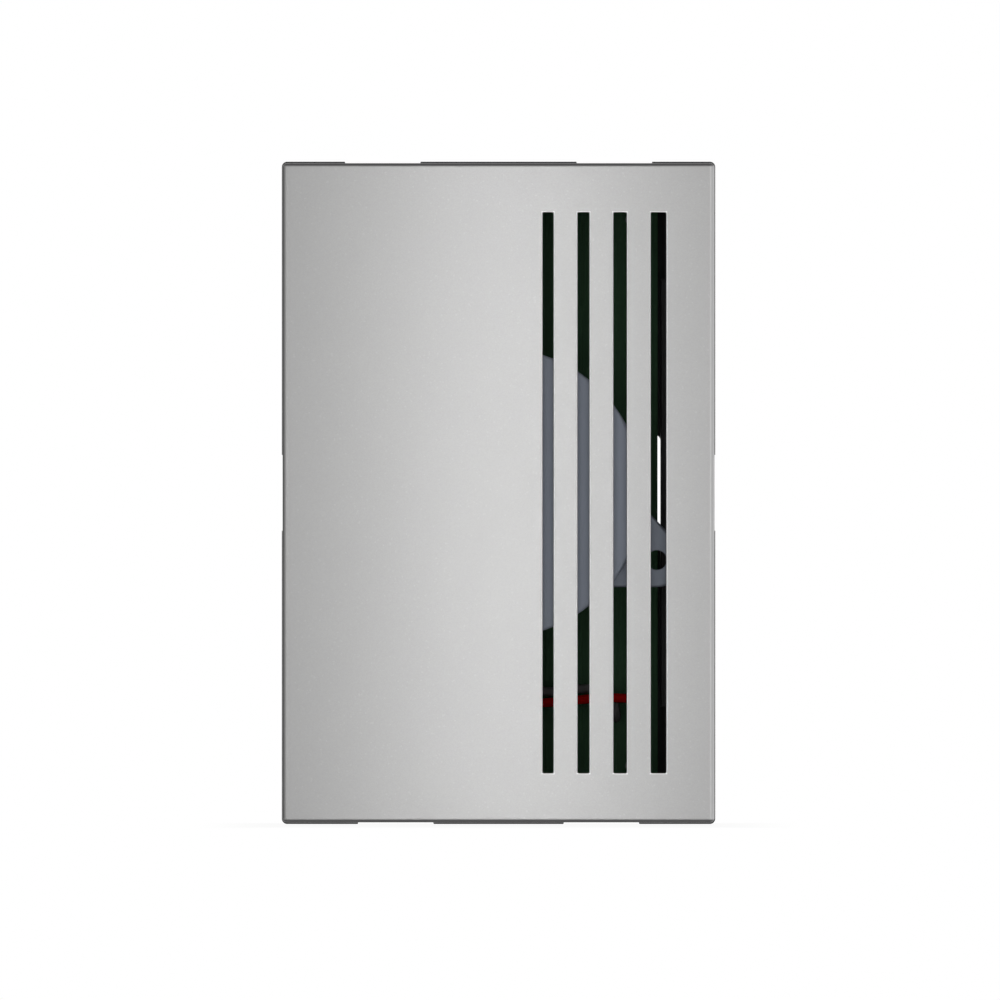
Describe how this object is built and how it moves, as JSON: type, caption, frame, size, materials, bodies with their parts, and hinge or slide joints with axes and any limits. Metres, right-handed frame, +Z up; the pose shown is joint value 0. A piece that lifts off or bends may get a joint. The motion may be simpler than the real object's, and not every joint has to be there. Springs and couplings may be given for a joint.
{
  "type": "doorbell chime box",
  "caption": "Wall chime box: a plain slotted cover snapped on a plate that carries a circuit board and a loudspeaker.",
  "frame": {"origin": "centre of the plate's back face, which lies on the wall", "axes": "+Z up along the wall, +Y into the wall, the slotted front faces -Y, +X to the right seen from the front"},
  "size_m": [0.097, 0.042, 0.1482],
  "materials": {
    "plate_black": "fine satin moulded",
    "cover_silver": "silver metallic lacquer, matte",
    "board_green": "solder resist, satin gloss",
    "screw_steel": "zinc plated",
    "cradle_black": "moulded",
    "speaker_steel": "zinc plated",
    "ferrite": "sintered",
    "frame_blue_grey": "satin",
    "screen_cloth": "fine close cloth",
    "surround_rubber": "matte",
    "spider_cloth": "resin-soaked cloth",
    "cone_paper": "pressed paper",
    "former_paper": "kraft paper",
    "copper": "enamelled wire",
    "strip_brown": "hard paper",
    "tinned_brass": "tinned",
    "lead_red": "satin insulation",
    "lead_black": "satin insulation",
    "solder": "bright solder",
    "terminal_green": "moulded",
    "trimmer_blue": "moulded",
    "white_plastic": "moulded",
    "switch_steel": "tinned",
    "chip_black": "moulded epoxy",
    "can_sleeve": "shrink sleeve",
    "resistor_tan": "lacquered"
  },
  "bodies": {
    "base": {"base_plate": "plate_black", "latch_tongues": "plate_black", "circuit_board": "board_green", "board_screws": "screw_steel", "cradle_screws": "screw_steel", "speaker_cradle": "cradle_black", "speaker_yoke": "speaker_steel", "speaker_magnet": "ferrite", "speaker_top_plate": "speaker_steel", "speaker_frame": "frame_blue_grey", "speaker_screen": "screen_cloth", "speaker_surround": "surround_rubber", "speaker_spider": "spider_cloth", "speaker_tag_strip": "strip_brown", "speaker_tags": "tinned_brass", "lead_red": "lead_red", "lead_black": "lead_black", "lead_joints": "solder", "terminal_block": "terminal_green", "terminal_screws": "screw_steel", "terminal_clamps": "tinned_brass", "trimmer_body": "trimmer_blue", "switch_can": "switch_steel", "switch_base": "strip_brown", "sound_chip": "chip_black", "amplifier_chip": "chip_black", "smoothing_capacitor": "can_sleeve", "small_capacitors": "can_sleeve", "rectifier": "chip_black", "regulator": "chip_black", "resistors": "resistor_tan"},
    "cover": {"front_cover": "cover_silver"},
    "volume_rotor": {"trimmer_rotor": "white_plastic"},
    "melody_knob": {"melody_slider": "cradle_black"},
    "cone": {"speaker_cone": "cone_paper", "voice_coil_former": "former_paper", "voice_coil": "copper", "dust_cap": "cone_paper"}
  },
  "joints": [
    {"name": "cover_pull", "type": "slide", "parent": "base", "child": "cover", "axis": [0, -1, 0], "range_m": [0, 0.06], "deforming": ["latch_tongues"]},
    {"name": "volume_turn", "type": "hinge", "parent": "base", "child": "volume_rotor", "pos_m": [-0.0145, -0.0156, 0.041], "axis": [0, -1, 0], "range_deg": [-135, 135]},
    {"name": "melody_slide", "type": "slide", "parent": "base", "child": "melody_knob", "axis": [1, 0, 0], "range_m": [0, 0.004]},
    {"name": "cone_drive", "type": "slide", "parent": "base", "child": "cone", "axis": [0, -1, 0], "range_m": [-0.0008, 0.0008], "stiffness_N_per_m": 900, "deforming": ["speaker_surround", "speaker_spider"]}
  ]
}
